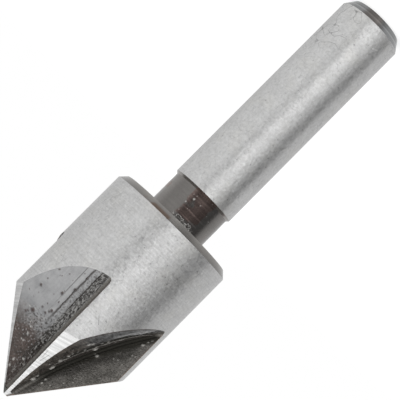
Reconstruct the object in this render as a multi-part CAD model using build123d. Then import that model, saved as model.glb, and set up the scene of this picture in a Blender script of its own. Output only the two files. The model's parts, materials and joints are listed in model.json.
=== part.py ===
from build123d import *
from math import acos, asin, cos, degrees, radians, tan
import os

# A countersink bit ground from one bar of tool steel. It stands on the flat end
# of its shank, with the point up, and the origin is the middle of that end.
# Lengths are in millimetres and angles in degrees.

# Shank and neck
shank_diameter = 6.35
shank_length = 21.82
shank_end_diameter = 5.1
end_taper_length = 0.89
end_taper_outer_length = 0.36
end_taper_outer_angle = 36.0
shank_front_taper_length = 0.21
neck_diameter = 5.93
neck_length = 3.2
neck_root_radius = 0.2

# Head and point
head_diameter = 12.7
head_length = 13.1
head_back_chamfer_length = 0.59
head_back_chamfer_depth = 0.56
point_angle = 78.0
tip_flat_diameter = 0.44

# Flutes, each left by the side and the rim of one grinding wheel
flute_count = 5
wheel_radius = 36.2
wheel_corner_radius = 0.33
wheel_depth_past_axis = 0.74
wheel_centre_past_tip = 8.07
cutting_face_offset = 0.16
cutting_face_lead_angle = 0.8

# Lands of the point: each is ground to a barely crowned cone that leans, and the
# grinding stops just short of the next cutting face
relief_lean_angle = 6.0
land_crown_radius = 2000.0
land_end_clearance = 0.02

# Cutters reach past the steel by this much
overrun = 1.0

# Worked out from the sizes above
shank_radius = shank_diameter / 2
neck_radius = neck_diameter / 2
head_radius = head_diameter / 2
half_point_angle = point_angle / 2
head_back_height = shank_length + neck_length
point_base_height = head_back_height + head_length
apex_height = point_base_height + head_radius / tan(radians(half_point_angle))
tip_height = apex_height - tip_flat_diameter / 2 / tan(radians(half_point_angle))


def turned_blank():
    """The bar before grinding: shank, neck and head, left square at the point."""
    taper_radius = shank_radius - end_taper_outer_length * tan(radians(end_taper_outer_angle))
    root = neck_root_radius
    shank_side = Polyline(
        (0, 0),
        (shank_end_diameter / 2, 0),
        (taper_radius, end_taper_length - end_taper_outer_length),
        (shank_radius, end_taper_length),
        (shank_radius, shank_length - shank_front_taper_length),
        (neck_radius, shank_length),
        (neck_radius, head_back_height - root),
    )
    root_arc = RadiusArc(
        (neck_radius, head_back_height - root),
        (neck_radius + root, head_back_height),
        root,
    )
    head_side = Polyline(
        (neck_radius + root, head_back_height),
        (head_radius - head_back_chamfer_depth, head_back_height),
        (head_radius, head_back_height + head_back_chamfer_length),
        (head_radius, tip_height),
        (0, tip_height),
        (0, 0),
    )
    outline = make_face(Plane.XZ * (shank_side + root_arc + head_side))
    return revolve(outline, Axis.Z)


def point_cutter():
    """What grinding takes off to leave the land in front of one flute.

    The kept surface is a slightly crowned cone with its apex at the apex of the
    point. The cone leans towards the flute in front of the land's cutting edge,
    so it drops away behind that edge. The cut ends at the land's own flute.
    """
    step = 360 / flute_count
    point_length = apex_height - point_base_height
    reach = 2 * point_length
    leaning_half_angle = acos(cos(radians(half_point_angle)) * cos(radians(relief_lean_angle)))
    cone_base = (reach * tan(leaning_half_angle), -reach)
    crowned_side = RadiusArc((0, 0), cone_base, -land_crown_radius)
    outline = crowned_side + Polyline(cone_base, (0, -reach), (0, 0))
    cone = revolve(make_face(Plane.XZ * outline), Axis.Z)
    edge_angle = degrees(asin(cutting_face_distance(point_base_height) / head_radius))
    lean = Rot(0, 0, step + edge_angle) * Rot(0, -relief_lean_angle, 0)
    block = Box(
        head_diameter,
        2 * head_diameter,
        3 * point_length,
        align=(Align.MIN, Align.CENTER, Align.CENTER),
    )
    return in_front_of_cutting_face(land_end_clearance) * block - Pos(0, 0, apex_height) * lean * cone


def cutting_face_distance(height):
    """How far a cutting face stands in front of the axis at a height."""
    return cutting_face_offset + (tip_height - height) * tan(radians(cutting_face_lead_angle))


def in_front_of_cutting_face(clearance):
    """A place by the tip, with its X axis square to a cutting face."""
    lead = Rot(0, -cutting_face_lead_angle, 0)
    return Pos(0, 0, tip_height) * lead * Pos(cutting_face_offset + clearance, 0, 0)


def flute_wheel():
    """The grinding wheel where it stands when it has cut one flute.

    Its side leaves the flat cutting face, and its rim leaves the hollow floor.
    """
    width = head_radius + overrun
    wheel = Cylinder(wheel_radius, width, align=(Align.CENTER, Align.CENTER, Align.MIN))
    inner_rim = wheel.edges().sort_by(Axis.Z)[0]
    wheel = fillet(inner_rim, wheel_corner_radius)
    centre_from_axis = wheel_radius - wheel_depth_past_axis
    wheel = Pos(0, -centre_from_axis, wheel_centre_past_tip) * Rot(0, 90, 0) * wheel
    return in_front_of_cutting_face(0) * wheel


def countersink_bit():
    """The turned blank with the lands of its point and its flutes ground."""
    bit = turned_blank()
    point = point_cutter()
    wheel = flute_wheel()
    turns = [Rot(0, 0, number * 360 / flute_count) for number in range(flute_count)]
    for turn in turns:
        bit = bit - turn * point
    for turn in turns:
        bit = bit - turn * wheel
    return bit


os.makedirs("parts", exist_ok=True)
export_step(countersink_bit(), "parts/countersink_bit.step")
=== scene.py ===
import json
import math

import bmesh
import bpy
import numpy as np
from mathutils import Matrix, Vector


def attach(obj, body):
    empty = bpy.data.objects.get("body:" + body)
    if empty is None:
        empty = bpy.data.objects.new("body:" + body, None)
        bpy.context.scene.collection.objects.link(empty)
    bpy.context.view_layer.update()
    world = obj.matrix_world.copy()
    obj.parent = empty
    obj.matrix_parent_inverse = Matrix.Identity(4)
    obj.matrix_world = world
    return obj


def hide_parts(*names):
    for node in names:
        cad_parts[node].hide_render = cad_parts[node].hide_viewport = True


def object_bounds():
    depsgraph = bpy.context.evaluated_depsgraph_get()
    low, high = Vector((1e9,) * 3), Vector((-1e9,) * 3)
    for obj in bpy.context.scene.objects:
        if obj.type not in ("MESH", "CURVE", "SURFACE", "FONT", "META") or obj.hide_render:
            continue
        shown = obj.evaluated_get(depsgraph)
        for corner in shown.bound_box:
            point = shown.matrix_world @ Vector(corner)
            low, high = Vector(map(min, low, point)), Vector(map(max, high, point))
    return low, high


# A countersink bit of tool steel that stands on its shank, with the point up. Lengths
# are in millimetres and angles in radians, until a mesh is written in metres.
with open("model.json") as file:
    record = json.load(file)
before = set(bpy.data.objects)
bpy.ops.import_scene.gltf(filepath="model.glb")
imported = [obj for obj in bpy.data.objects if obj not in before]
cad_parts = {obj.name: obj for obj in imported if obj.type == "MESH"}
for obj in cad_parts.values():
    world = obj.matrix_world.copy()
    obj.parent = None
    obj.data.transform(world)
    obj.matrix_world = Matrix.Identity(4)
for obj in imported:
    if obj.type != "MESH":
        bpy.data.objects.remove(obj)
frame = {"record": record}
cad_low, cad_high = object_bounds()
MILLIMETRE = 0.001

# Sizes that the frame gives
HEAD_RADIUS = cad_high.x / MILLIMETRE
TIP_HEIGHT = cad_high.z / MILLIMETRE
SHANK_RADIUS = frame["record"]["mounts"][0]["dims"]["r_mm"]

# Shank and neck
SHANK_LENGTH = 21.82
SHANK_END_RADIUS = 2.55
END_TAPER_LENGTH = 0.89
END_TAPER_OUTER_LENGTH = 0.36
END_TAPER_OUTER_ANGLE = math.radians(36.0)
SHANK_FRONT_TAPER_LENGTH = 0.21
NECK_RADIUS = 2.965
NECK_LENGTH = 3.2
NECK_ROOT_RADIUS = 0.2

# Head and point
HEAD_BACK_CHAMFER_LENGTH = 0.59
HEAD_BACK_CHAMFER_DEPTH = 0.56
POINT_HALF_ANGLE = math.radians(39.0)
TIP_FLAT_RADIUS = 0.22
RELIEF_LEAN = math.radians(6.0)

# Flutes
FLUTE_COUNT = 5
WHEEL_RADIUS = 36.2
WHEEL_CORNER_RADIUS = 0.33
WHEEL_DEPTH_PAST_AXIS = 0.74
WHEEL_CENTRE_PAST_TIP = 8.07
FACE_OFFSET = 0.16
FACE_LEAD = math.radians(0.8)

# Worked out from the sizes above
HEAD_BACK_HEIGHT = SHANK_LENGTH + NECK_LENGTH
APEX_HEIGHT = TIP_HEIGHT + TIP_FLAT_RADIUS / math.tan(POINT_HALF_ANGLE)
POINT_BASE_HEIGHT = APEX_HEIGHT - HEAD_RADIUS / math.tan(POINT_HALF_ANGLE)
WHEEL_CENTRE_OUT = WHEEL_RADIUS - WHEEL_DEPTH_PAST_AXIS
WHEEL_CENTRE_HEIGHT = TIP_HEIGHT + WHEEL_CENTRE_PAST_TIP
STEP = 2 * math.pi / FLUTE_COUNT

# Mesh density: columns of one sector, from its cutting edge round to the next one, and rows.
# The floor's columns crowd towards the wall's foot, where its marks are finest.
WALL_COLUMNS = 30
CORNER_COLUMNS = 6
FLOOR_COLUMNS = 50
FLUTE_COLUMNS = WALL_COLUMNS + CORNER_COLUMNS + FLOOR_COLUMNS
LAND_COLUMNS = 20
FLOOR_CROWDING = 1.25
TIP_ROWS = 4
POINT_ROWS = 86
SIDE_ROWS = 60
HEAD_ROWS = 12
ROOT_ROWS = 5
NECK_ROWS = 48
SHANK_ROWS = 24

# Closing the mesh, in metres, and the least angle of an edge that stays sharp
SEAM_GAP = 2e-7
SLIVER = 1e-7
SHARP_ANGLE = math.radians(22)

# In the flute map, each flute's places are shifted by this much from the last one's
FLUTE_SPACING = 100.0
FINISHES = ("ground", "land", "flute", "turned")


def face_distance(height):
    """How far the cutting face stands in front of the axis at a height."""
    return FACE_OFFSET + (TIP_HEIGHT - height) * math.tan(FACE_LEAD)


def wheel_cut(across, height):
    """Where the grinding wheel's surface lies at a height.

    across is the distance along the wheel's width from its side. The wheel is a disc
    with a rounded corner, and leans by the lead angle. Gives x in front of the axis,
    and how far out the surface is towards the wheel's centre.
    """
    inside = np.clip(WHEEL_CORNER_RADIUS - across, 0, WHEEL_CORNER_RADIUS)
    radius = WHEEL_RADIUS - WHEEL_CORNER_RADIUS + np.sqrt(WHEEL_CORNER_RADIUS**2 - inside**2)
    side = FACE_OFFSET + across
    climb = (height - TIP_HEIGHT - side * math.sin(FACE_LEAD)) / math.cos(FACE_LEAD)
    x = side * math.cos(FACE_LEAD) - climb * math.sin(FACE_LEAD)
    out = WHEEL_CENTRE_OUT - np.sqrt(radius**2 - (climb - WHEEL_CENTRE_PAST_TIP) ** 2)
    return x, out


def land_slope(from_lean):
    """Radius gained for each millimetre below the apex on a leaning cone.

    It solves the cone's equation, (g sin(lean) cos(angle) + cos(lean))^2 =
    (g^2 + 1) cos^2(half angle of the cone), for g at an angle from the lean.
    """
    opening = math.cos(POINT_HALF_ANGLE) * math.cos(RELIEF_LEAN)
    tilt = math.sin(RELIEF_LEAN) * np.cos(from_lean)
    upright = math.cos(RELIEF_LEAN)
    a = opening**2 - tilt**2
    b = tilt * upright
    c = upright**2 - opening**2
    return (b + np.sqrt(b**2 + a * c)) / a


def edge_angle():
    """How far round from straight out the cutting edge lies at the point's base.

    It is the arcsine of the edge's distance in front of the axis over its radius.
    """
    return math.asin(face_distance(POINT_BASE_HEIGHT) / HEAD_RADIUS)


def land_radius(azimuth, height, lean):
    """Radius of the point's leaning cone or of the head's cylinder, whichever is less."""
    return np.minimum(HEAD_RADIUS, (APEX_HEIGHT - height) * land_slope(azimuth - lean))


def reach_on_face(height, lean, rounds=4):
    """How far out a land's surface lies on the plane of the cutting face.

    The land's radius there depends on the reach, so each round works both out anew.
    """
    x = face_distance(height)
    reach = land_radius(-math.pi / 2, height, lean)
    for _ in range(rounds):
        radius = land_radius(np.arctan2(-reach, x), height, lean)
        reach = np.sqrt(np.maximum(radius**2 - x**2, 0))
    return reach


def halve(is_past, low, high, steps=40):
    """Halves the span from low to high until it closes on where is_past turns true."""
    low = low + np.zeros_like(high)
    for _ in range(steps):
        middle = (low + high) / 2
        past = is_past(middle)
        low = np.where(past, low, middle)
        high = np.where(past, middle, high)
    return high


def is_outside(across, height, lean):
    """Whether the wheel's surface lies outside a land's surface there."""
    x, out = wheel_cut(across, height)
    return np.hypot(x, out) > land_radius(np.arctan2(-out, x), height, lean)


def flute_ends():
    """Heights at which the flute starts below the tip and runs out of the head's side."""
    lean = STEP + edge_angle()
    base = np.array(POINT_BASE_HEIGHT)

    def rim_is_outside(height):
        return is_outside(WHEEL_CORNER_RADIUS, height, lean)

    start = halve(rim_is_outside, base, np.array(TIP_HEIGHT))
    end = halve(lambda height: ~rim_is_outside(height), np.array(HEAD_BACK_HEIGHT), base)
    return float(start), float(end)


class Section:
    """One sector of the bit cut across at given heights, as an array of rows and columns.

    The section runs from the cutting edge down the wall to its foot, round the wheel's
    corner, across the floor to the heel, and along the land to the next cutting edge.
    Each part gives x, out and the distance from the wall's foot, which is less than 0
    on the wall. On the land that is the distance from the next edge, and less than 0.
    top is the cutting edge and foot the wall's foot. near and far are how far along the
    wheel's width its cut begins and reaches the heel.
    """

    def __init__(self, height, flute_start):
        near_lean = edge_angle()
        far_lean = STEP + edge_angle()
        corner = WHEEL_CORNER_RADIUS
        before_heel = 0.9 * corner
        past_any_heel = 8.0 + 0 * height
        self.height = height
        self.far_lean = far_lean
        self.above_flute = height >= flute_start

        face = face_distance(height)
        top_out = reach_on_face(height, near_lean)
        wall_is_cut = (wheel_cut(0.0, height)[1] < top_out) & ~self.above_flute
        leaves_land = halve(lambda a: ~is_outside(a, height, near_lean), 0.0, corner + 0 * height)
        self.near = np.where(wall_is_cut, 0.0, leaves_land)
        self.far = halve(lambda a: is_outside(a, height, far_lean), before_heel, past_any_heel)
        start_x, start_out = wheel_cut(self.near, height)
        on_face = wall_is_cut | self.above_flute
        self.top = (np.where(on_face, face, start_x), np.where(on_face, top_out, start_out))
        far_out = reach_on_face(height, far_lean)
        foot_x = np.where(self.above_flute, face, start_x)
        foot_out = np.where(self.above_flute, far_out, start_out)
        self.foot = (foot_x, foot_out)

    def wall(self, share):
        """A straight line from the cutting edge down to the wall's foot."""
        x = self.top[0] + share * (self.foot[0] - self.top[0])
        out = self.top[1] + share * (self.foot[1] - self.top[1])
        return x, out, self.foot[1] - out

    def cut_at(self, across):
        """The wheel's surface, or the wall's foot above the start of the flute."""
        x, out = wheel_cut(across, self.height)
        x = np.where(self.above_flute, self.foot[0], x)
        out = np.where(self.above_flute, self.foot[1], out)
        return x, out, across

    def corner(self, share):
        """The quarter turn at the wall's foot, by even steps of its angle."""
        radius = WHEEL_CORNER_RADIUS
        first = np.arccos(1 - self.near / radius)
        last = np.arccos(np.clip(1 - self.far / radius, 0, 1))
        return self.cut_at(radius * (1 - np.cos(first + share * (last - first))))

    def floor(self, share):
        """The line that the wheel's rim leaves, from the corner to the heel."""
        first = np.minimum(WHEEL_CORNER_RADIUS, self.far)
        return self.cut_at(first + share**FLOOR_CROWDING * (self.far - first))

    def land_azimuth(self, share):
        """Even steps round the axis from the heel to the next cutting edge."""
        x, out, _ = self.floor(1.0)
        heel = np.arctan2(-out, x)
        edge = np.arctan2(-self.top[1], self.top[0]) + STEP
        return heel + share * (edge - heel), edge

    def land(self, share):
        """The leaning cone or the head's side, between the heel and the next edge."""
        azimuth, edge = self.land_azimuth(share)
        radius = land_radius(azimuth, self.height, self.far_lean)
        return radius * np.cos(azimuth), -radius * np.sin(azimuth), radius * (azimuth - edge)


def column_shares():
    """For each part of a sector's section: how far along it each of its columns is."""
    parts = (
        (Section.wall, WALL_COLUMNS),
        (Section.corner, CORNER_COLUMNS),
        (Section.floor, FLOOR_COLUMNS),
        (Section.land, LAND_COLUMNS),
    )
    return [(part, np.arange(count) / count) for part, count in parts]


def crease_heights(flute_start, rounds=8):
    """Height in each column at which the point's cones meet the head's cylinder.

    Where a land's column lies depends on that height, so each round works both out anew.
    """
    edge_crease = APEX_HEIGHT - HEAD_RADIUS / land_slope(-math.pi / 2)
    share = np.arange(LAND_COLUMNS) / LAND_COLUMNS
    crease = np.full(LAND_COLUMNS, POINT_BASE_HEIGHT)
    for _ in range(rounds):
        section = Section(crease, flute_start)
        azimuth, _ = section.land_azimuth(share)
        crease = APEX_HEIGHT - HEAD_RADIUS / land_slope(azimuth - section.far_lean)
    in_flute = np.linspace(edge_crease, crease[0], FLUTE_COLUMNS + 1)[:-1]
    return np.concatenate([in_flute, crease])


def row_heights(flute_start, flute_end):
    """Height of each vertex of a sector: rows down the tip, the point and the head's side."""
    crease = crease_heights(flute_start)
    tip = np.linspace(TIP_HEIGHT, flute_start, TIP_ROWS + 1)[:-1, None] + 0 * crease
    point_share = (np.arange(POINT_ROWS) / POINT_ROWS)[:, None]
    side_share = (np.arange(SIDE_ROWS + 1) / SIDE_ROWS)[:, None]
    point = flute_start + point_share * (crease - flute_start)
    side = crease + side_share * (flute_end - crease)
    return np.concatenate([tip, point, side])


def fluted_grid():
    """The fluted part of one sector as arrays of x, out, height and distance from the wall's foot.

    The flute's last row closes on the point at which the wheel leaves the head's side.
    """
    start, end = flute_ends()
    heights = row_heights(start, end)
    columns = []
    first = 0
    for part, share in column_shares():
        height = heights[:, first : first + len(share)]
        x, out, along = part(Section(height, start), share)
        columns.append((x, out, height, along))
        first += len(share)
    x, out, height, along = (np.concatenate(arrays, axis=1) for arrays in zip(*columns))
    end_x, end_out = wheel_cut(WHEEL_CORNER_RADIUS, end)
    x[-1, : FLUTE_COLUMNS + 1] = end_x
    out[-1, : FLUTE_COLUMNS + 1] = end_out
    return x, out, height, along


# Marks in two flutes, each by its distance from the wall's foot, its height and its radius
FRONT_FLUTE = 0
SIDE_FLUTE = FLUTE_COUNT - 1
FRONT_FLUTE_PITS = (
    (3.14, 38.85, 0.26),
    (3.55, 39.30, 0.13),
    (3.42, 39.15, 0.11),
    (1.93, 37.75, 0.17),
    (2.05, 37.95, 0.12),
    (2.20, 38.26, 0.13),
    (2.31, 36.06, 0.16),
    (4.09, 36.81, 0.15),
    (3.87, 34.80, 0.14),
    (2.72, 38.05, 0.10),
    (1.75, 35.10, 0.13),
)
FRONT_FLUTE_CRUMBS = (
    (1.36, 43.58, 0.16),
    (1.44, 42.98, 0.14),
    (2.18, 41.24, 0.08),
    (2.14, 40.50, 0.07),
    (0.85, 42.40, 0.11),
)
SIDE_FLUTE_CRUMBS = (
    (0.30, 43.00, 0.32),
    (0.42, 42.55, 0.20),
    (0.60, 41.25, 0.26),
    (0.66, 41.08, 0.30),
    (1.58, 40.20, 0.25),
    (1.75, 39.44, 0.20),
    (2.86, 37.50, 0.24),
    (2.60, 37.25, 0.24),
    (0.75, 37.45, 0.32),
    (-0.13, 37.81, 0.18),
    (-0.44, 34.40, 0.16),
    (-0.30, 33.95, 0.09),
    (-0.26, 33.60, 0.08),
    (-0.20, 42.30, 0.13),
    (-0.32, 42.75, 0.12),
    (1.90, 41.08, 0.12),
    (1.28, 39.96, 0.13),
    (1.92, 39.08, 0.13),
    (1.82, 38.66, 0.11),
    (1.58, 38.12, 0.14),
    (1.26, 37.28, 0.12),
    (1.70, 36.72, 0.16),
    (1.60, 36.24, 0.16),
    (0.64, 35.90, 0.10),
    (-0.90, 42.36, 0.08),
)

# Random marks in each flute: how many, from where to where along and up it, least and
# largest radius, and the first flute's seed
RANDOM_PITS = (34, (1.1, 5.0), (33.0, 39.5), (0.045, 0.10), 40)
RANDOM_FLOOR_CRUMBS = (22, (0.5, 3.6), (38.0, 44.0), (0.04, 0.09), 60)
RANDOM_WALL_CRUMBS = (10, (-2.0, -0.1), (33.5, 43.0), (0.05, 0.10), 80)

# Marks that the wheel's worn rim left along each flute, by distance from the wall's foot.
# The rough band rises between its first two places and falls between its last two.
BAND_LINE = 1.02
DEEP_LINE = 1.64
FINE_LINE = 2.20
ROUGH_BAND = (0.30, 0.42, BAND_LINE, 1.25)

# From nothing to full marks, by distance from the nearer edge of the flute
EDGE_FADE = (0.02, 0.22)

# Rings that turning left on the neck
NECK_RING_DEPTH = 0.006
NECK_RING_LENGTH = 0.13
NECK_RING_SEED = 7

# Points along each side of the lattice that random heights stand on
LATTICE = 512


def cloudy(across, along, cell, length, seed):
    """Smooth random heights from -1 to 1.

    Random values stand on a lattice of cells that wide and long, and are eased
    between its points with 3t^2 - 2t^3.
    """
    values = np.random.default_rng(seed).uniform(-1, 1, (LATTICE, LATTICE))
    place_x, place_y = across / cell, along / length
    column, row = np.floor(place_x).astype(int), np.floor(place_y).astype(int)
    ease_x, ease_y = (t * t * (3 - 2 * t) for t in (place_x - column, place_y - row))
    corners = [values[(row + j) % LATTICE, (column + i) % LATTICE] for j in (0, 1) for i in (0, 1)]
    low = corners[0] + ease_x * (corners[1] - corners[0])
    high = corners[2] + ease_x * (corners[3] - corners[2])
    return low + ease_y * (high - low)


def rise(value, low, high):
    """Eases from 0 at low to 1 at high, or down again where low is above high."""
    share = np.clip((value - low) / (high - low), 0, 1)
    return share * share * (3 - 2 * share)


def groove(distance, width):
    """A rounded groove, exp(-(distance / width)^2)."""
    return np.exp(-((distance / width) ** 2))


def spots(along, height, places):
    """Round spots, each 1 in its middle and easing to 0 at its radius, and their sizes.

    The size is the spot times its radius, so that wide spots can stand higher.
    """
    mask, size = np.zeros_like(along), np.zeros_like(along)
    for place, level, radius in places:
        distance = np.hypot(along - place, height - level)
        spot = rise(distance, radius, 0.35 * radius)
        mask = np.maximum(mask, spot)
        size = np.maximum(size, spot * radius)
    return mask, size


def scattered(kind, number):
    """Random places for one flute's spots, with many small ones and few large."""
    count, along_range, height_range, (smallest, largest), first_seed = kind
    draw = np.random.default_rng(first_seed + number)
    radii = smallest + (largest - smallest) * draw.random(count) ** 3
    places = draw.uniform(*along_range, count)
    heights = draw.uniform(*height_range, count)
    return np.stack([places, heights, radii], axis=1)


def flute_marks(along, height, number):
    """One flute's pits, and the crumbs of scale stuck in it, as spots."""
    pits = scattered(RANDOM_PITS, number)
    crumbs = np.concatenate([scattered(RANDOM_FLOOR_CRUMBS, number), scattered(RANDOM_WALL_CRUMBS, number)])
    if number == FRONT_FLUTE:
        pits = np.concatenate([pits, FRONT_FLUTE_PITS])
        crumbs = np.concatenate([crumbs, FRONT_FLUTE_CRUMBS])
    if number == SIDE_FLUTE:
        crumbs = np.concatenate([crumbs, SIDE_FLUTE_CRUMBS])
    return spots(along, height, pits), spots(along, height, crumbs)


def band_crust(along, height, seed):
    """The torn crust of the rough band, from about -0.4 to 1, and 0 outside the band."""
    starts, full_from, full_to, ends = ROUGH_BAND
    band = rise(along, starts, full_from) * rise(along, ends, full_to)
    ridges = np.abs(cloudy(along, height, 0.16, 0.30, seed + 1))
    return band * (ridges + 0.5 * cloudy(along, height, 0.11, 0.15, seed + 2) - 0.4)


def flute_relief(along, height, number, pit_size, crumb_size):
    """Height of the flute's scale and grinding marks above its true surface.

    The floor's height is the rough band's crust, less two lines, and with faint waves
    along the wheel's path and bubbles of scale. The wall has a fine grain. Pits are
    dents, and crumbs are bumps.
    """
    seed = 10 * number
    waver = 0.035 * cloudy(0 * along, height, 1.0, 0.5, seed + 3)
    uneven = 0.6 + 0.4 * cloudy(along, height, 1.0, 0.4, seed + 5)
    crust = 0.055 * band_crust(along, height, seed)
    deep_line = 0.045 * groove(along + waver - DEEP_LINE, 0.07) * rise(height, 39.2, 38.2) * uneven
    fine_line = 0.012 * groove(along - FINE_LINE, 0.06)
    waves = 0.003 * cloudy(along, height, 0.14, 4.0, seed + 4)
    bubbly = np.minimum(rise(height, 38.0, 40.0) + rise(along, 1.9, 1.3), 1)
    bubbles = 0.014 * bubbly * cloudy(along, height, 0.13, 0.15, seed + 6)
    floor = crust - deep_line - fine_line + waves + bubbles
    grain = cloudy(along, height, 0.13, 0.16, seed + 7) + 0.6 * cloudy(along, height, 0.25, 0.6, seed + 8)
    on_floor = rise(along, WHEEL_CORNER_RADIUS - 0.03, WHEEL_CORNER_RADIUS + 0.07)
    on_wall = rise(along, -0.02, -0.3)
    dents = 0.3 * pit_size
    bumps = 0.4 * crumb_size
    return floor * on_floor + 0.009 * grain * on_wall - dents + bumps


def edge_distance(x, out, height):
    """Distance in each section from the nearer edge of the flute, and 0 on the lands."""
    steps = np.hypot(np.diff(x, axis=1), np.diff(out, axis=1))
    passed = np.concatenate([np.zeros((len(x), 1)), np.cumsum(steps, axis=1)], axis=1)
    heel = passed[:, -LAND_COLUMNS][:, None]
    ends = np.minimum(height - height[-1], height[TIP_ROWS] - height)
    nearest = np.minimum(np.minimum(passed, heel - passed), ends)
    nearest[:, -LAND_COLUMNS:] = 0
    return np.maximum(nearest, 0)


def lift(out, height, along, relief):
    """How the relief moves points: square to the wall there, and to the wheel's rim elsewhere."""
    on_wall = rise(along, 0.05, -0.05)
    to_centre_out, to_centre_up = WHEEL_CENTRE_OUT - out, WHEEL_CENTRE_HEIGHT - height
    length = np.hypot(to_centre_out, to_centre_up)
    on_floor = (1 - on_wall) * relief / length
    return on_wall * relief, on_floor * to_centre_out, on_floor * to_centre_up


def turned_about(x, out, height, turn):
    """A sector's points turned about the axis. Before the turn, out is towards -Y."""
    turned_x = x * math.cos(turn) + out * math.sin(turn)
    turned_y = x * math.sin(turn) - out * math.cos(turn)
    return np.stack([turned_x, turned_y, height], axis=-1)


def fluted_part():
    """The five sectors side by side: points, their lifts and marks, and the flute map.

    The sector's grid is turned about the axis once for each flute.
    """
    x, out, height, along = fluted_grid()
    from_edge = edge_distance(x, out, height)
    fade = rise(from_edge, *EDGE_FADE)
    points, lifts, marks = [], [], []
    for number in range(FLUTE_COUNT):
        (pit, pit_size), (crumb, crumb_size) = flute_marks(along, height, number)
        relief = fade * flute_relief(along, height, number, pit_size, crumb_size)
        turn = number * STEP
        points.append(turned_about(x, out, height, turn))
        lifts.append(turned_about(*lift(out, height, along, relief), turn))
        marks.append(np.stack([fade * pit, fade * crumb, relief, from_edge], axis=-1))
    points, lifts, marks = (np.concatenate(arrays, axis=1) for arrays in (points, lifts, marks))
    return points, lifts, marks, flute_map(along, height)


def flute_map(along, height):
    """For each face's corners: distance from the wall's foot, and height.

    Each flute's distances are shifted by a step of their own, so that no two flutes
    share their marks. The floor's last faces carry its distance on to the heel.
    """
    next_along = np.concatenate([along[:, 1:], np.zeros((len(along), 1))], axis=1)
    next_along[:, -LAND_COLUMNS - 1] = 2 * along[:, -LAND_COLUMNS - 1] - along[:, -LAND_COLUMNS - 2]
    next_height = np.concatenate([height[:, 1:], height[:, :1]], axis=1)
    across = np.stack([along[:-1], along[1:], next_along[1:], next_along[:-1]], axis=-1)
    level = np.stack([height[:-1], height[1:], next_height[1:], next_height[:-1]], axis=-1)
    shifted = [across + FLUTE_SPACING * number for number in range(FLUTE_COUNT)]
    places = np.stack([np.concatenate(shifted, axis=1), np.tile(level, (1, FLUTE_COUNT, 1))], axis=-1)
    return places.reshape(-1, 2)


def turned_profile():
    """Radius, height and finish of each stretch down the bit below its flutes."""
    side_top = flute_ends()[1]
    chamfer_height = HEAD_BACK_HEIGHT + HEAD_BACK_CHAMFER_LENGTH
    root = NECK_ROOT_RADIUS
    front_taper_height = SHANK_LENGTH - SHANK_FRONT_TAPER_LENGTH
    end_kink_height = END_TAPER_LENGTH - END_TAPER_OUTER_LENGTH
    end_kink_radius = SHANK_RADIUS - END_TAPER_OUTER_LENGTH * math.tan(END_TAPER_OUTER_ANGLE)

    points = []
    for height in np.linspace(side_top, chamfer_height, HEAD_ROWS)[1:]:
        points.append((HEAD_RADIUS, height, "ground"))
    points.append((HEAD_RADIUS - HEAD_BACK_CHAMFER_DEPTH, HEAD_BACK_HEIGHT, "turned"))
    for angle in np.linspace(0, math.pi / 2, ROOT_ROWS):
        radius = NECK_RADIUS + root * (1 - math.sin(angle))
        points.append((radius, HEAD_BACK_HEIGHT - root * (1 - math.cos(angle)), "turned"))
    for height in np.linspace(HEAD_BACK_HEIGHT - root, SHANK_LENGTH, NECK_ROWS)[1:]:
        points.append((NECK_RADIUS, height, "turned"))
    points.append((SHANK_RADIUS, front_taper_height, "turned"))
    for height in np.linspace(front_taper_height, END_TAPER_LENGTH, SHANK_ROWS)[1:]:
        points.append((SHANK_RADIUS, height, "ground"))
    points.append((end_kink_radius, end_kink_height, "turned"))
    points.append((SHANK_END_RADIUS, 0.0, "turned"))
    return points


def neck_rings(radius, height):
    """Lift of the rings that turning left on the neck, less than 0, and 0 elsewhere."""
    on_neck = (radius == NECK_RADIUS) & (height > SHANK_LENGTH)
    rings = cloudy(0 * height, height, 1.0, NECK_RING_LENGTH, NECK_RING_SEED)
    return on_neck * NECK_RING_DEPTH * (rings - 1)


def turned_part(azimuth, profile):
    """The profile carried round the axis through the given azimuths, and its lifts."""
    radius = np.array([point[0] for point in profile])[:, None]
    height = np.array([point[1] for point in profile])[:, None]
    around = np.stack([np.cos(azimuth), np.sin(azimuth)], axis=-1)
    points = np.concatenate([radius[..., None] * around, (height + 0 * azimuth)[..., None]], axis=-1)
    lifts = np.zeros_like(points)
    lifts[..., :2] = neck_rings(radius, height)[..., None] * around
    return points, lifts


def quads(index):
    """Faces between neighbouring rows and columns of a grid that closes on itself."""
    right = np.roll(index, -1, axis=1)
    return np.stack([index[:-1], index[1:], right[1:], right[:-1]], axis=-1).reshape(-1, 4)


def sector_finishes(rows):
    """The finish of each face of the fluted part of a sector, by its row and column."""
    finish = np.full((rows - 1, FLUTE_COLUMNS + LAND_COLUMNS), FINISHES.index("flute"))
    finish[:, -LAND_COLUMNS:] = FINISHES.index("land")
    finish[TIP_ROWS + POINT_ROWS :, -LAND_COLUMNS:] = FINISHES.index("ground")
    return finish


def face_finishes(rows, profile):
    """The finish of each face, in the faces' order: fluted part, turned part, tip and end."""
    around = FLUTE_COUNT * LAND_COLUMNS
    fluted = np.tile(sector_finishes(rows), (1, FLUTE_COUNT))
    turned = np.repeat([FINISHES.index(finish) for _, _, finish in profile], around)
    tip = np.full(fluted.shape[1], FINISHES.index("land"))
    end = np.full(around, FINISHES.index("turned"))
    return np.concatenate([fluted.ravel(), turned, tip, end])


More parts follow.
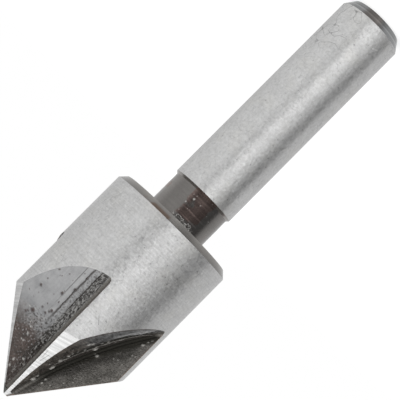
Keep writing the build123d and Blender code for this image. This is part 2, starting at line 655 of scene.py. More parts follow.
def bit_arrays():
    """Points, lifts, marks, faces, finishes and flute map of the whole bit.

    Below the flutes, the lands' columns run on down the turned profile, and a fan
    closes each end.
    """
    fluted, fluted_lifts, marks, places = fluted_part()
    rows, columns = fluted.shape[:2]
    index = np.arange(rows * columns).reshape(rows, columns)
    is_land = np.tile(np.repeat([False, True], [FLUTE_COLUMNS, LAND_COLUMNS]), FLUTE_COUNT)
    azimuth = np.arctan2(fluted[-1, is_land, 1], fluted[-1, is_land, 0])
    profile = turned_profile()
    turned, turned_lifts = turned_part(azimuth, profile)
    turned_index = rows * columns + np.arange(turned[..., 0].size).reshape(turned.shape[:2])
    turned_index = np.concatenate([index[-1][is_land][None], turned_index])

    ends = np.array([[0, 0, TIP_HEIGHT], [0, 0, 0]])
    points = np.concatenate([fluted.reshape(-1, 3), turned.reshape(-1, 3), ends])
    lifts = np.zeros_like(points)
    lifts[: -len(ends)] = np.concatenate([fluted_lifts.reshape(-1, 3), turned_lifts.reshape(-1, 3)])
    all_marks = np.zeros((len(points), marks.shape[-1]))
    all_marks[: rows * columns] = marks.reshape(-1, marks.shape[-1])

    tip, end = len(points) - 2, len(points) - 1
    first_row, last_row = index[0], turned_index[-1]
    tip_fan = [[tip, a, b] for a, b in zip(first_row, np.roll(first_row, -1))]
    end_fan = [[end, b, a] for a, b in zip(last_row, np.roll(last_row, -1))]
    faces = np.concatenate([quads(index), quads(turned_index)]).tolist() + tip_fan + end_fan
    return points, lifts, all_marks, faces, face_finishes(rows, profile), places


def written_mesh(points, lifts, marks, faces, finishes, places):
    """A mesh in metres that holds the finishes, the flute map, the marks and the lifts."""
    mesh = bpy.data.meshes.new("countersink_bit_skin")
    mesh.from_pydata(points * MILLIMETRE, [], faces)
    mesh.polygons.foreach_set("material_index", finishes.astype(np.int32))
    layer = mesh.uv_layers.new(name="flute")
    uv = np.zeros((len(mesh.loops), 2), np.float32)
    uv[: len(places)] = places
    layer.data.foreach_set("uv", uv.ravel())
    for column, name in enumerate(("pit", "crumb", "relief", "from_edge")):
        values = marks[:, column].astype(np.float32)
        mesh.attributes.new(name, "FLOAT", "POINT").data.foreach_set("value", values)
    attribute = mesh.attributes.new("lift", "FLOAT_VECTOR", "POINT")
    attribute.data.foreach_set("vector", (lifts * MILLIMETRE).astype(np.float32).ravel())
    return mesh


def close_seams(mesh):
    """Merges the points that meet at the seams, and marks the sharp edges."""
    work = bmesh.new()
    work.from_mesh(mesh)
    bmesh.ops.remove_doubles(work, verts=work.verts, dist=SEAM_GAP)
    bmesh.ops.dissolve_degenerate(work, edges=work.edges, dist=SLIVER)
    bmesh.ops.recalc_face_normals(work, faces=work.faces)
    work.to_mesh(mesh)
    work.free()
    mesh.polygons.foreach_set("use_smooth", np.ones(len(mesh.polygons), bool))
    mesh.set_sharp_from_angle(angle=SHARP_ANGLE)


def add_lifts(mesh):
    """Moves each point by the lift that the mesh holds there, and takes the lifts out of it."""
    moved = np.zeros(3 * len(mesh.vertices), np.float32)
    raised = np.zeros_like(moved)
    mesh.vertices.foreach_get("co", moved)
    mesh.attributes["lift"].data.foreach_get("vector", raised)
    mesh.vertices.foreach_set("co", moved + raised)
    mesh.attributes.remove(mesh.attributes["lift"])
    mesh.update()


def make_bit():
    """The bit's surface as one piece. Its seams and sharp edges are those of the plain
    surface, so the lifts are added last.
    """
    mesh = written_mesh(*bit_arrays())
    close_seams(mesh)
    add_lifts(mesh)
    bit = bpy.data.objects.new("countersink_bit_skin", mesh)
    bpy.context.scene.collection.objects.link(bit)
    return bit


class Number:
    """A number that varies over a surface. Arithmetic on it adds Math nodes."""

    def __init__(self, shader, socket):
        self.shader = shader
        self.socket = socket

    def __add__(self, other):
        return self.shader.math("ADD", self, other)

    def __radd__(self, other):
        return self.shader.math("ADD", other, self)

    def __sub__(self, other):
        return self.shader.math("SUBTRACT", self, other)

    def __rsub__(self, other):
        return self.shader.math("SUBTRACT", other, self)

    def __mul__(self, other):
        return self.shader.math("MULTIPLY", self, other)

    def __rmul__(self, other):
        return self.shader.math("MULTIPLY", other, self)

    def __truediv__(self, other):
        return self.shader.math("DIVIDE", self, other)

    def __pow__(self, other):
        return self.shader.math("POWER", self, other)

    def __abs__(self):
        return self.shader.math("ABSOLUTE", self)

    def step(self, low, high):
        """Rises smoothly from 0 at low to 1 at high. It falls where low is above high."""
        if low > high:
            return 1 - self.step(high, low)
        settings = {"interpolation_type": "SMOOTHSTEP"}
        values = {"Value": self, "From Min": low, "From Max": high}
        return self.shader.number("ShaderNodeMapRange", settings, values)

    def ramp(self, low, high):
        """Rises evenly from 0 at low to 1 at high."""
        values = {"Value": self, "From Min": low, "From Max": high}
        return self.shader.number("ShaderNodeMapRange", {}, values)

    def between(self, low, high, soft):
        """1 between two values, falling to 0 within soft outside them."""
        return self.step(low - soft, low) * self.step(high + soft, high)

    def swing(self, share):
        """A factor about 1, which noise from 0 to 1 moves up or down by a share."""
        return 1 + (self - 0.5) * (2 * share)


class Shader:
    """A node tree in the making."""

    def __init__(self, tree):
        self.tree = tree
        tree.nodes.clear()

    def add(self, kind, settings=None, values=None):
        """Puts in any node: its settings first, then the values or links of its sockets."""
        node = self.tree.nodes.new(kind)
        for name, value in (settings or {}).items():
            setattr(node, name, value)
        for name, value in (values or {}).items():
            socket = node.inputs[name]
            source = getattr(value, "socket", value)
            if isinstance(source, bpy.types.NodeSocket):
                self.tree.links.new(source, socket)
            else:
                socket.default_value = value
        return node

    def number(self, kind, settings=None, values=None, output=0):
        """Puts in a node and gives the number that comes out of it."""
        return Number(self, self.add(kind, settings, values).outputs[output])

    def math(self, operation, *numbers):
        """A Math node on one or two numbers."""
        return self.number("ShaderNodeMath", {"operation": operation}, dict(enumerate(numbers)))

    def most(self, first, *others):
        """The largest of several numbers."""
        for other in others:
            first = self.math("MAXIMUM", first, other)
        return first

    def mark(self, name):
        """One of the numbers that the mesh holds at its points."""
        return self.number("ShaderNodeAttribute", {"attribute_name": name}, output="Fac")

    def split(self, vector):
        """The three numbers of a vector."""
        axes = self.add("ShaderNodeSeparateXYZ", {}, {0: vector})
        return [Number(self, axes.outputs[axis]) for axis in range(3)]

    def join(self, *numbers):
        """A vector from three numbers."""
        return self.add("ShaderNodeCombineXYZ", {}, dict(enumerate(numbers))).outputs[0]

    def place(self):
        """Object coordinates in millimetres."""
        metres = self.add("ShaderNodeTexCoord").outputs["Object"]
        return self.scale(metres, 1 / MILLIMETRE)

    def flute_place(self):
        """The place on the flute map: distance from the wall's foot, and height."""
        return self.add("ShaderNodeUVMap", {"uv_map": "flute"}).outputs[0]

    def scale(self, vector, factor):
        """A vector or a colour times a number."""
        node = self.add("ShaderNodeVectorMath", {"operation": "SCALE"}, {0: vector, "Scale": factor})
        return node.outputs[0]

    def mix(self, share, low, high):
        """A colour between two colours."""
        settings = {"data_type": "RGBA", "clamp_factor": True}
        node = self.add("ShaderNodeMix", settings, {0: share, 6: colour(low), 7: colour(high)})
        return node.outputs[2]

    def noise(self, where, scale, detail=2.0, roughness=0.5, stretch=None):
        """Cloudy noise from 0 to 1. stretch multiplies the scale along X, Y and Z."""
        if stretch:
            where = self.add("ShaderNodeMapping", {}, {"Vector": where, "Scale": stretch}).outputs[0]
        values = {"Vector": where, "Scale": scale, "Detail": detail, "Roughness": roughness}
        return self.number("ShaderNodeTexNoise", {}, values)

    def dots(self, where, cell, radius, share):
        """Round spots of up to a radius, in a share of the cells of a Voronoi pattern."""
        node = self.add("ShaderNodeTexVoronoi", {"feature": "F1"}, {"Vector": where, "Scale": 1 / cell})
        distance = Number(self, node.outputs["Distance"]) * cell
        draw = self.split(node.outputs["Color"])[0]
        size = (draw - (1 - share)) * (radius / share)
        return (size - distance).step(0, 0.4 * radius)

    def hairs(self, where, scale, width):
        """Thin curling lines: the places where a slow noise passes its middle value."""
        return abs(self.noise(where, scale, detail=1.0) - 0.5).step(width, 0)

    def bump(self, height):
        """A normal tilted by small heights, given in millimetres."""
        return self.add("ShaderNodeBump", {}, {"Height": height, "Distance": MILLIMETRE}).outputs[0]

    def surface(self, values):
        """Ends the tree with a Principled surface."""
        surface = self.add("ShaderNodeBsdfPrincipled", {}, values)
        self.add("ShaderNodeOutputMaterial", {}, {"Surface": surface.outputs[0]})


def colour(value):
    """A colour with its alpha, from three numbers or a socket."""
    if isinstance(value, tuple):
        return (*value, 1.0)
    return value


def new_material(name):
    """An empty material, and the shader that fills it."""
    material = bpy.data.materials.new(name)
    material.use_nodes = True
    return material, Shader(material.node_tree)


# Colours of the steel and of its scale, some of which also serve as painted shade and light
GROUND_STEEL = (0.53, 0.53, 0.528)
WARM_STEEL = (0.53, 0.528, 0.520)
WORN_SCALE = ((0.175, 0.176, 0.179), (0.245, 0.246, 0.247))
BROWN_SCALE = ((0.053, 0.046, 0.042), (0.102, 0.081, 0.074))
SIDE_BROWN_SCALE = ((0.060, 0.053, 0.044), (0.165, 0.143, 0.124))
WALL_SCALE = ((0.082, 0.078, 0.071), (0.203, 0.193, 0.180))
# Black grains in the wall's scale, and black painted shade in the crease
BLACK_SCALE_AND_SHADE = (0.050, 0.048, 0.041)
CORNER_SCALE = ((0.085, 0.079, 0.071), (0.130, 0.124, 0.115))
CRUST = ((0.024, 0.022, 0.020), (0.225, 0.222, 0.215))
PIT_SCALE = (0.055, 0.040, 0.038)
CRUMB = (0.42, 0.41, 0.385)
LINE_SCALE = (0.045, 0.040, 0.037)
LIGHT_SCALE = (0.300, 0.302, 0.305)
STREAK_SCALE = (0.098, 0.087, 0.078)
# A painted highlight: the light line on the side flute's floor
LIGHT_LINE = (0.400, 0.385, 0.365)
HEEL_BROWN = (0.100, 0.083, 0.070)
# A pale brown line at the front flute's wall foot, partly painted light against the shade there
EDGE_SCALE = (0.330, 0.285, 0.255)
TIP_SCALE = (0.080, 0.081, 0.075)
EDGE_RUST = (0.230, 0.180, 0.150)
NECK_SCALE = (0.165, 0.157, 0.150)
NECK_BROWN = (0.148, 0.113, 0.103)
CHAMFER_SCALE = (0.192, 0.184, 0.175)
CHAMFER_RUST = (0.145, 0.112, 0.092)
END_SCALE = (0.121, 0.112, 0.106)
END_BLUE = (0.236, 0.240, 0.243)
BARE_CHIP = (0.50, 0.49, 0.47)

# Ground steel glints across its grinding lines
GROUND_GLINT = {"Anisotropic": 0.8, "Anisotropic Rotation": 0.25}

# Scratches on the front of the bit, from and to x and height
HEAD_SCRATCH = ((-1.38, 35.76), (-0.89, 35.19))
SHANK_NICK = ((-1.44, 2.53), (-1.79, 2.31))
LAND_SCRATCHES = (
    ((-0.07, 41.38), (-0.27, 40.43)),
    ((0.02, 40.95), (0.06, 40.25)),
)


def azimuth_degrees(shader, x, y):
    """Turn about the axis: 0 in front, and growing towards -X."""
    return shader.math("ARCTAN2", x * -1, y * -1) * (180 / math.pi)


def scratch(shader, where, ends, width):
    """A straight scratch on the front, 1 along its middle. It measures the distance from
    a line between two places, looking along +Y.
    """
    x, y, height = shader.split(where)
    start, end = ends
    length = math.dist(start, end)
    turn_x, turn_up = ((b - a) / length for a, b in zip(start, end))
    from_x, from_up = x - start[0], height - start[1]
    passed = shader.most(from_x * turn_x + from_up * turn_up, 0)
    passed = shader.math("MINIMUM", passed, length)
    off_x, off_up = from_x - passed * turn_x, from_up - passed * turn_up
    distance = (off_x * off_x + off_up * off_up) ** 0.5
    return distance.step(width, 0.3 * width) * y.step(0.5, -0.5)


def ground_steel():
    """Fine lines round the axis, cloudy patches, dark specks and curling hairlines."""
    material, shader = new_material("ground_steel")
    where = shader.place()
    x, y, height = shader.split(where)
    turn = azimuth_degrees(shader, x, y)
    rings = shader.noise(where, 1.0, detail=1, roughness=0.6, stretch=(0.5, 0.5, 9.0))
    clouds = shader.noise(where, 0.7, detail=4, roughness=0.6)
    blotches = shader.noise(where, 4.2, detail=3, roughness=0.7)
    specks = shader.dots(where, cell=1.0, radius=0.13, share=0.40)
    patch = shader.noise(where, 0.35, detail=1).step(0.52, 0.6)
    near_end = height.step(6.5, 4.5) * (0.25 + 0.75 * turn.step(-10, -22))
    curls = shader.hairs(where, scale=0.8, width=0.017) * shader.most(patch * 0.35, near_end)
    on_head = (height - HEAD_BACK_HEIGHT).step(0.28, 0.48)
    level = rings.swing(0.11 * on_head + 0.05) * clouds.swing(0.14) * blotches.swing(0.38)
    level = level * (1 - 0.03 * on_head) * (1 - 0.32 * specks) * (1 - 0.46 * curls)
    level = level * (1 - 0.35 * scratch(shader, where, HEAD_SCRATCH, 0.06))
    nick = scratch(shader, where, SHANK_NICK, 0.09)
    warm = shader.noise(where, 0.45, detail=3).step(0.50, 0.66)
    shader.surface(
        {
            "Base Color": shader.scale(shader.mix(warm, GROUND_STEEL, WARM_STEEL), level + 0.35 * nick),
            "Metallic": 1.0,
            "Roughness": 0.33 + 0.40 * (blotches - 0.45),
            "Normal": shader.bump(0.034 * blotches + 0.0006 * rings - 0.006 * specks),
            **GROUND_GLINT,
        }
    )
    return material


def ground_land():
    """Slanting lines across each land, as the grinding left them."""
    material, shader = new_material("ground_land")
    where = shader.place()
    on_map = shader.flute_place()
    behind, height, _ = shader.split(on_map)
    slant = height - 0.3 * behind
    coarse = shader.noise(shader.join(behind * 0.12, slant * 3.2, 0.0), 1.0, detail=3, roughness=0.65)
    fine = shader.noise(on_map, 9.0, detail=2)
    past_front = behind.step(0.0, -0.08)
    brighter = 0.06 * (1 - past_front) * height.step(41.0, 39.0)
    level = coarse.swing(0.75) * fine.swing(0.14) * (1 + brighter)
    for ends in LAND_SCRATCHES:
        level = level * (1 - 0.40 * scratch(shader, where, ends, 0.05))
    scaled_tip = (height + 0.3 * (fine - 0.5)).between(45.00, 45.62, 0.05) * past_front
    shader.surface(
        {
            "Base Color": shader.mix(scaled_tip, shader.scale(GROUND_STEEL, level), TIP_SCALE),
            "Metallic": 1.0,
            "Roughness": 0.36 + 0.10 * fine,
            "Normal": shader.bump(0.002 * coarse),
            **GROUND_GLINT,
        }
    )
    return material


class FlutePlace:
    """What the layers of a flute's scale share: where they are, and the noises in them.

    after_front is 1 in every flute but the front one. along is the distance from the
    wall's foot, and less than 0 on the wall. The line of painted shade in the crease gives
    how far from that foot the shade reaches, less and less towards the end of the flute,
    and past_line is the distance past it. The marks near_tip, band, by_band and pimpled go from 0 to 1.
    """

    def __init__(self, shader):
        on_map = shader.flute_place()
        shifted, height, _ = shader.split(on_map)
        number = shader.math("ROUND", shifted / FLUTE_SPACING)
        self.on_map = on_map
        self.height = height
        self.along = shifted - number * FLUTE_SPACING
        self.from_tip = TIP_HEIGHT - height
        self.after_front = number.step(0.4, 0.6)
        self.on_side = number.step(SIDE_FLUTE - 0.6, SIDE_FLUTE - 0.4)
        # How far the painted shade in the crease reaches from the wall's foot, less and less towards the
        # end of the flute
        self.shade_line = 0.12 + 1.38 * (height - flute_ends()[1]).step(-0.6, 3.6)
        self.past_line = self.along - self.shade_line
        self.relief = shader.mark("relief")
        self.from_edge = shader.mark("from_edge")

        self.clouds = shader.noise(on_map, 1.1, detail=4, roughness=0.6)
        self.fine = shader.noise(on_map, 6.5, detail=3, roughness=0.7)
        self.grit = shader.noise(on_map, 14.0, detail=2)
        self.wheel_lines = shader.noise(on_map, 1.0, detail=2, stretch=(6.0, 0.3, 1.0))
        self.pimples = shader.noise(on_map, 5.5, detail=1)
        self.squiggles = abs(shader.noise(on_map, 1.0, detail=1, stretch=(6.0, 3.2, 1.0)) - 0.5)

        ragged_height = height + 2.2 * (self.clouds - 0.5) + 1.2 * (self.fine - 0.5)
        self.near_tip = (ragged_height + 2.1 * self.after_front).step(38.4, 40.9)
        self.band = (self.along + 0.6 * (self.fine - 0.5)).between(0.38, BAND_LINE, 0.10)
        self.by_band = 0.65 * self.along.between(1.1, 1.55, 0.25)
        halfway = height.between(38.9, 40.9, 0.9) * self.along.step(4.0, 2.6)
        self.pimpled = shader.most(self.by_band, halfway, 0.35 * self.near_tip)


def worn_floor(shader, at):
    """Blue-grey scale, worn along the wheel's path, and brown scale nearer to the tip."""
    worn_share = (0.6 * at.clouds + 0.2 * at.wheel_lines + 0.2 * at.grit).step(0.32, 0.66)
    worn = shader.mix(worn_share, *WORN_SCALE)
    brown_share = (0.5 * at.clouds + 0.5 * at.fine).step(0.36, 0.66)
    brown = shader.mix(brown_share, *BROWN_SCALE)
    brown = shader.mix(at.after_front, brown, shader.mix(brown_share, *SIDE_BROWN_SCALE))
    return shader.mix(at.near_tip, worn, brown)


def pimpled_floor(shader, at, floor):
    """Pimples of scale: dark hollows and light tops."""
    floor = shader.mix(at.pimpled * at.pimples.step(0.47, 0.36) * 0.75, floor, LINE_SCALE)
    return shader.mix(at.pimpled * at.pimples.step(0.57, 0.68) * 0.55, floor, LIGHT_SCALE)


def mottled_floor(shader, at, floor):
    """Mottles in every flute but the front one, a painted highlight past the painted shade, lighter and
    darker bands up the flute, and brown by the heel.
    """
    streaks = shader.noise(at.on_map, 1.0, detail=3, roughness=0.65, stretch=(1.0, 5.0, 1.0))
    mottles = 2.4 * (streaks - 0.5) + 1.3 * (at.clouds - 0.5)
    # A painted highlight: a lighter band just past the painted shade, low on the flute, strongest in the
    # side flute
    painted_highlight_band = (0.5 + 0.9 * at.on_side) * abs(at.past_line - 0.75).step(0.6, 0.1)
    painted_highlight_band = painted_highlight_band * at.height.between(33.6, 35.3, 1.2)
    # Painted reflection makes the floor lighter low down by the run-out. It is also lighter near the tip,
    # and darker in two bands between
    worn = 0.28 * at.height.step(34.6, 33.4) + 0.55 * at.height.step(42.0, 43.4)
    dull = 0.28 * at.height.between(35.2, 37.2, 1.0) + 0.22 * at.height.between(38.6, 41.6, 0.8)
    level = 1 + at.after_front * (mottles + painted_highlight_band + worn - dull) - 0.18 * at.by_band
    by_heel = at.after_front * at.from_edge.step(0.55, 0.20) * at.along.step(1.0, 1.6)
    return shader.mix(by_heel * 0.6, shader.scale(floor, level), HEEL_BROWN)


def crusted_floor(shader, at, floor):
    """The torn crust of the rough band, which thins out towards the tip."""
    crust = 9.0 * at.relief + 2.6 * at.squiggles + 0.5 * at.fine - 0.25 * at.near_tip
    crust = shader.mix(crust.step(0.12, 0.80), *CRUST)
    return shader.mix(at.band * (0.9 - 0.35 * at.height.step(40.6, 43.0)), floor, crust)


def wheel_scores(shader, at):
    """Where the worn wheel's wavering lines lie on the floor, from 0 to 1."""
    soft_waves = shader.noise(at.on_map, 1.0, detail=1, stretch=(0.5, 1.4, 1.0)) - 0.5
    off_deep = abs(at.along + 0.22 * soft_waves + 0.12 * (at.fine - 0.5) - DEEP_LINE)
    off_fine = abs(at.along + 0.05 * soft_waves - FINE_LINE)
    off_band = abs(at.along + 0.12 * soft_waves - BAND_LINE)
    deep = off_deep.step(0.08, 0.03) * at.height.step(38.6, 37.6)
    faint = off_fine.step(0.05, 0.02) * at.height.step(37.4, 35.5) * 0.5
    edge = off_band.step(0.06, 0.02) * at.height.step(37.6, 36.0)
    return shader.most(deep, faint, edge) * at.fine.step(0.30, 0.45)


def scored_floor(shader, at, floor, scores):
    """The wheel's lines and the hollows in the relief, and the scale in the rounded corner."""
    hollows = at.relief.step(-0.003, -0.012) * at.along.step(1.0, 1.2)
    floor = shader.mix(shader.most(0.8 * scores, 0.35 * hollows), floor, LINE_SCALE)
    corner = shader.mix(at.fine.step(0.35, 0.65), *CORNER_SCALE)
    return shader.mix((at.along + 0.10 * (at.fine - 0.5)).step(0.38, 0.28), floor, corner)


def shaded_wall(shader, at):
    """Grey grained scale on the cutting face, with painted shade that spreads from its foot."""
    grain = (0.3 * at.clouds + 0.4 * at.fine + 0.3 * at.grit).step(0.40, 0.60)
    black_grains = shader.noise(at.on_map, 9.0, detail=1).step(0.44, 0.34)
    wall = shader.mix(black_grains * 0.8, shader.mix(grain, *WALL_SCALE), BLACK_SCALE_AND_SHADE)
    reach = 0.35 + 0.55 * at.height.step(41.8, 40.2) + 0.55 * at.height.step(38.4, 36.2)
    reach = reach - 1.1 * at.height.step(35.9, 34.5)
    # Painted shade, darkest at the wall's foot and reaching further up at some heights
    foot_shade = (at.along + reach + 0.7 * (at.clouds - 0.5)).step(-0.35, 0.35)
    lighter = 0.12 * at.height.step(39.5, 37.5) + 0.10 * at.from_edge.step(0.9, 0.3)
    return shader.scale(wall, 1 + lighter - 0.42 * foot_shade)


def shaded_crease(shader, at, base):
    """A brown streak, and black painted shade beside the wall's foot, in every flute but the front one."""
    share = at.along / (at.shade_line / 0.85)
    by_foot = (at.along / at.from_tip).step(-0.075, -0.02) * share.step(0.20, 0.10)
    # Black painted shade by the wall's foot and in a band towards the shade's edge
    painted_shade = shader.most(by_foot, share.between(0.72, 0.98, 0.14) * at.from_tip.step(4.6, 6.6))
    reach = at.after_front * at.from_tip.step(1.6, 4.2) * at.height.step(32.85, 33.25)
    base = shader.mix(reach * share.between(0.2, 0.50, 0.08) * 0.80, base, STREAK_SCALE)
    base = shader.mix(reach * painted_shade * at.fine.swing(0.3) * 0.95, base, BLACK_SCALE_AND_SHADE)
    # Painted shade: darker still all along the wall's foot
    return shader.scale(base, 1 - 0.6 * reach * at.along.between(-0.02, 0.14, 0.04))


def painted_highlight_line(shader, at, base):
    """A painted highlight: a light line between the side flute's streak and painted shade, narrower near
    the wall's foot.
    """
    off_line = abs(at.past_line + 0.43) / (0.30 + 0.70 * at.along.step(0.15, 0.50))
    line = at.on_side * off_line.step(0.16, 0.07) * at.from_tip.step(4.0, 5.6)
    line = line * at.height.step(33.15, 33.6)
    return shader.mix(line * at.fine.step(0.25, 0.50), base, LIGHT_LINE)


def rusty_edges(shader, at, base):
    """A pale brown line along the front flute's wall foot, partly its colour and partly painted light
    against the shade there, and thin rust on the cutting edges.
    """
    pale = (1 - at.after_front) * at.along.between(-0.02, 0.06, 0.03)
    base = shader.mix(pale * (0.4 + 0.5 * at.fine.step(0.35, 0.60)), base, EDGE_SCALE)
    rust = at.along.step(0.05, 0.0) * at.from_edge.step(0.12, 0.03) * at.fine.step(0.30, 0.62)
    return shader.mix(rust, base, EDGE_RUST)


def flute_scale():
    """Scale in the flutes: worn blue-grey on the floor, brown by the tip, with black painted shade in the
    crease.
    """
    material, shader = new_material("flute_scale")
    at = FlutePlace(shader)
    scores = wheel_scores(shader, at)
    floor = worn_floor(shader, at)
    for layer in (pimpled_floor, mottled_floor, crusted_floor):
        floor = layer(shader, at, floor)
    floor = scored_floor(shader, at, floor, scores)
    base = shader.mix(at.along.step(0.0, -0.08), floor, shaded_wall(shader, at))
    for layer in (shaded_crease, painted_highlight_line, rusty_edges):
        base = layer(shader, at, base)
    crumb = shader.mark("crumb")
    base = shader.mix(shader.mark("pit") * 0.9, base, PIT_SCALE)
    base = shader.mix(crumb * (0.35 + 0.9 * at.fine), base, CRUMB)

    rough = shader.most(at.near_tip, at.along.step(1.5, 0.9))
    bump = rough * (0.010 * at.fine + 0.004 * at.grit) + 0.0006 * at.wheel_lines + 0.002 * at.fine
    bump = bump + 0.03 * at.band * at.squiggles - 0.02 * scores + 0.03 * at.pimpled * at.pimples
    shine_lost = 0.12 * rough + 0.12 * at.fine + 0.22 * at.after_front * at.along.step(0.0, 0.3)
    shader.surface(
        {
            "Base Color": base,
            "Metallic": 1.0 - 0.75 * crumb,
            "Roughness": 0.27 + shine_lost,
            "Normal": shader.bump(bump),
        }
    )
    return material


def scaled_neck(shader, turn, height, stain, fine):
    """Scale on the neck, with a brown stain, a strip of painted shade, a painted reflection that lightens
    its sides, and painted light on its taper to the shank.
    """
    in_shade = (turn + 14 * (fine - 0.5)).between(16, 38, 3)
    at_shank = height.step(SHANK_LENGTH + 0.02, SHANK_LENGTH - 0.02)
    # Painted reflection lightens the sides, painted shade darkens one strip, and painted light lightens the
    # taper to the shank
    level = 1 + 0.38 * abs(turn).step(42, 62) - 0.20 * in_shade + 0.5 * at_shank
    return shader.scale(shader.mix(stain, NECK_SCALE, NECK_BROWN), level)


def scaled_chamfer(shader, turn, past_back, clouds):
    """Scale on the chamfer at the head's back, rusty towards its outer edge, with a painted highlight that
    makes it lighter by its inner edge.
    """
    rust = (clouds + 0.35 * turn.between(-22, -8, 5)).step(0.60, 0.85) * past_back.step(0.18, 0.38)
    # A painted highlight by the inner edge, fading towards the outer edge. The sides are lighter too
    level = (1.28 - 0.42 * past_back.ramp(0.0, 0.48)) * (1 + 0.26 * abs(turn + 2).step(18, 26))
    return shader.scale(shader.mix(rust, CHAMFER_SCALE, CHAMFER_RUST), level)


def scaled_end(shader, turn, height):
    """Scale on the end tapers, bluer at the sides, with a light and a dark ring by the kink."""
    rings = 0.34 * height.between(0.46, 0.54, 0.05) - 0.18 * height.between(0.30, 0.38, 0.05)
    end = shader.mix(abs(turn + 9).step(12, 26), END_SCALE, END_BLUE)
    return shader.scale(end, 1 + rings + 0.24 * turn.step(10, 22))


def turned_scale():
    """Scale on the neck, the chamfer and the end tapers, with turned rings and bare chips."""
    material, shader = new_material("turned_scale")
    where = shader.place()
    x, y, height = shader.split(where)
    past_back = height - HEAD_BACK_HEIGHT
    turn = azimuth_degrees(shader, x, y)
    rings = shader.noise(where, 1.0, detail=3, roughness=0.6, stretch=(0.1, 0.1, 9.0))
    clouds = shader.noise(where, 0.8, detail=3)
    fine = shader.noise(where, 7.0, detail=2)

    stain = (clouds + 0.3 * turn.between(-12, 24, 8)).step(0.62, 0.72) * past_back.step(-0.52, -0.72)
    neck = scaled_neck(shader, turn, height, stain, fine)
    chamfer = scaled_chamfer(shader, turn, past_back, clouds)
    base = shader.mix(past_back.step(-0.20, -0.12), neck, chamfer)
    base = shader.mix(height.step(2.0, 1.0), base, scaled_end(shader, turn, height))
    base = shader.scale(base, rings.swing(0.12 + 0.40 * stain) * fine.swing(0.14) * clouds.swing(0.12))

    on_neck = height.between(SHANK_LENGTH, HEAD_BACK_HEIGHT - 0.12, 0.05)
    chips = shader.hairs(where, scale=2.6, width=0.05) * past_back.between(-0.57, -0.10, 0.06)
    flecks = shader.dots(where, cell=0.42, radius=0.16, share=0.90) * on_neck
    bare = shader.most(chips * turn.between(-14, 26, 6), flecks * turn.between(-12, 38, 6))
    rough_side = 0.004 * fine * on_neck * turn.between(8, 45, 6)
    shader.surface(
        {
            "Base Color": shader.mix(bare * 0.75, base, BARE_CHIP),
            "Metallic": 1.0 - 0.5 * bare,
            "Roughness": 0.17 + 0.08 * fine + 0.05 * rings,
            "Normal": shader.bump(0.0012 * rings + 0.006 * bare + rough_side),
        }
    )
    return material


# Camera, from the perspective of the photo. The sensor's width is in its own millimetres.
CAMERA_PLACE = (-0.067, -138.70, 33.29)
CAMERA_TILT = 0.0808
CAMERA_ROLL = math.radians(45.135)
FOCAL_PIXELS = 1603.74
PHOTO_PIXELS = 400
SENSOR_WIDTH = 36.0

# Floor, with its radius in metres, its colour and its own light
FLOOR_RADIUS = 0.3
FLOOR_CORNERS = 96
FLOOR_GREY = 0.25
FLOOR_GLOW = 0.78


def make_camera():
    """Looks at the bit from the side and a little down, rolled so that its point is low on the left."""
    ahead = np.array([0, math.cos(CAMERA_TILT), -math.sin(CAMERA_TILT)])
    to_shank = np.array([0, -math.sin(CAMERA_TILT), -math.cos(CAMERA_TILT)])
    to_side = np.array([-1.0, 0, 0])
    right = math.cos(CAMERA_ROLL) * to_shank + math.sin(CAMERA_ROLL) * to_side
    up = math.sin(CAMERA_ROLL) * to_shank - math.cos(CAMERA_ROLL) * to_side
    data = bpy.data.cameras.new("camera")
    data.lens = SENSOR_WIDTH * FOCAL_PIXELS / PHOTO_PIXELS
    data.sensor_width = SENSOR_WIDTH
    data.clip_start = 0.005
    data.clip_end = 20.0
    camera = bpy.data.objects.new("camera", data)
    pose = Matrix(np.stack([right, up, -ahead], axis=1).tolist()).to_4x4()
    pose.translation = np.array(CAMERA_PLACE) * MILLIMETRE
    camera.matrix_world = pose
    bpy.context.scene.collection.objects.link(camera)
    bpy.context.scene.camera = camera


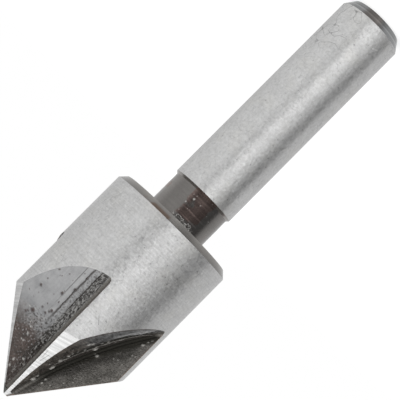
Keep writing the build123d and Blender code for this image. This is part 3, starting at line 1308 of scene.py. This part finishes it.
def make_world():
    """A white studio: a dim side behind the camera, lit patches on it, and a soft box above.

    turn is measured in degrees as azimuth_degrees says, and up from -1 to 1.
    """
    world = bpy.data.worlds.new("studio")
    bpy.context.scene.world = world
    world.use_nodes = True
    shader = Shader(world.node_tree)
    direction = shader.add("ShaderNodeTexCoord").outputs["Generated"]
    x, y, up = shader.split(direction)
    turn = azimuth_degrees(shader, x, y)
    dim_side = turn.step(-29, -20) * turn.step(93, 83) * up.step(0.80, 0.68)
    lit = turn.step(-37, 9) * (1 - 0.30 * turn.step(12, 34) - 0.70 * turn.ramp(34, 78))
    upper = lit * up.step(0.14, 0.26) * up.step(0.62, 0.5)
    lower = lit * up.step(-0.14, -0.26)
    above = up.step(0.68, 0.80)
    near_edge = 0.06 * turn.step(-80, -50) * turn.step(-20, -32)
    far_sides = 0.18 * turn.step(86, 94) + 0.04 * turn.step(102, 112) + 0.20 * turn.step(-90, -150)
    strength = 1.0 - 0.76 * dim_side + near_edge - far_sides + 2.6 * upper + 1.8 * lower + 0.9 * above
    path = shader.add("ShaderNodeLightPath")
    camera = Number(shader, path.outputs["Is Camera Ray"])
    transmission = Number(shader, path.outputs["Is Transmission Ray"])
    background = shader.most(camera, transmission)
    level = background + (1 - background) * strength
    surface = shader.add("ShaderNodeBackground", {}, {"Color": (1, 1, 1, 1), "Strength": level})
    shader.add("ShaderNodeOutputWorld", {}, {"Surface": surface.outputs[0]})


def make_floor():
    """A round pale floor that is white to the camera and keeps a soft shadow."""
    angle = np.arange(FLOOR_CORNERS) * 2 * math.pi / FLOOR_CORNERS
    ring = np.stack([FLOOR_RADIUS * np.cos(angle), FLOOR_RADIUS * np.sin(angle), 0 * angle], axis=1)
    mesh = bpy.data.meshes.new("floor")
    mesh.from_pydata(ring.tolist(), [], [list(range(FLOOR_CORNERS))])
    floor = bpy.data.objects.new("floor", mesh)
    bpy.context.scene.collection.objects.link(floor)
    material, shader = new_material("floor_white")
    diffuse = shader.add("ShaderNodeBsdfDiffuse", {}, {"Color": (FLOOR_GREY, FLOOR_GREY, FLOOR_GREY, 1)})
    glow = shader.add("ShaderNodeEmission", {}, {"Color": (1, 1, 1, 1), "Strength": FLOOR_GLOW})
    both = shader.add("ShaderNodeAddShader", {}, {0: diffuse.outputs[0], 1: glow.outputs[0]})
    shader.add("ShaderNodeOutputMaterial", {}, {"Surface": both.outputs[0]})
    mesh.materials.append(material)
    floor.visible_glossy = False


bit = make_bit()
for make_material in (ground_steel, ground_land, flute_scale, turned_scale):
    bit.data.materials.append(make_material())
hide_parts("countersink_bit")
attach(bit, "root")
make_camera()
make_world()
make_floor()
bpy.context.scene.view_settings.view_transform = "Standard"
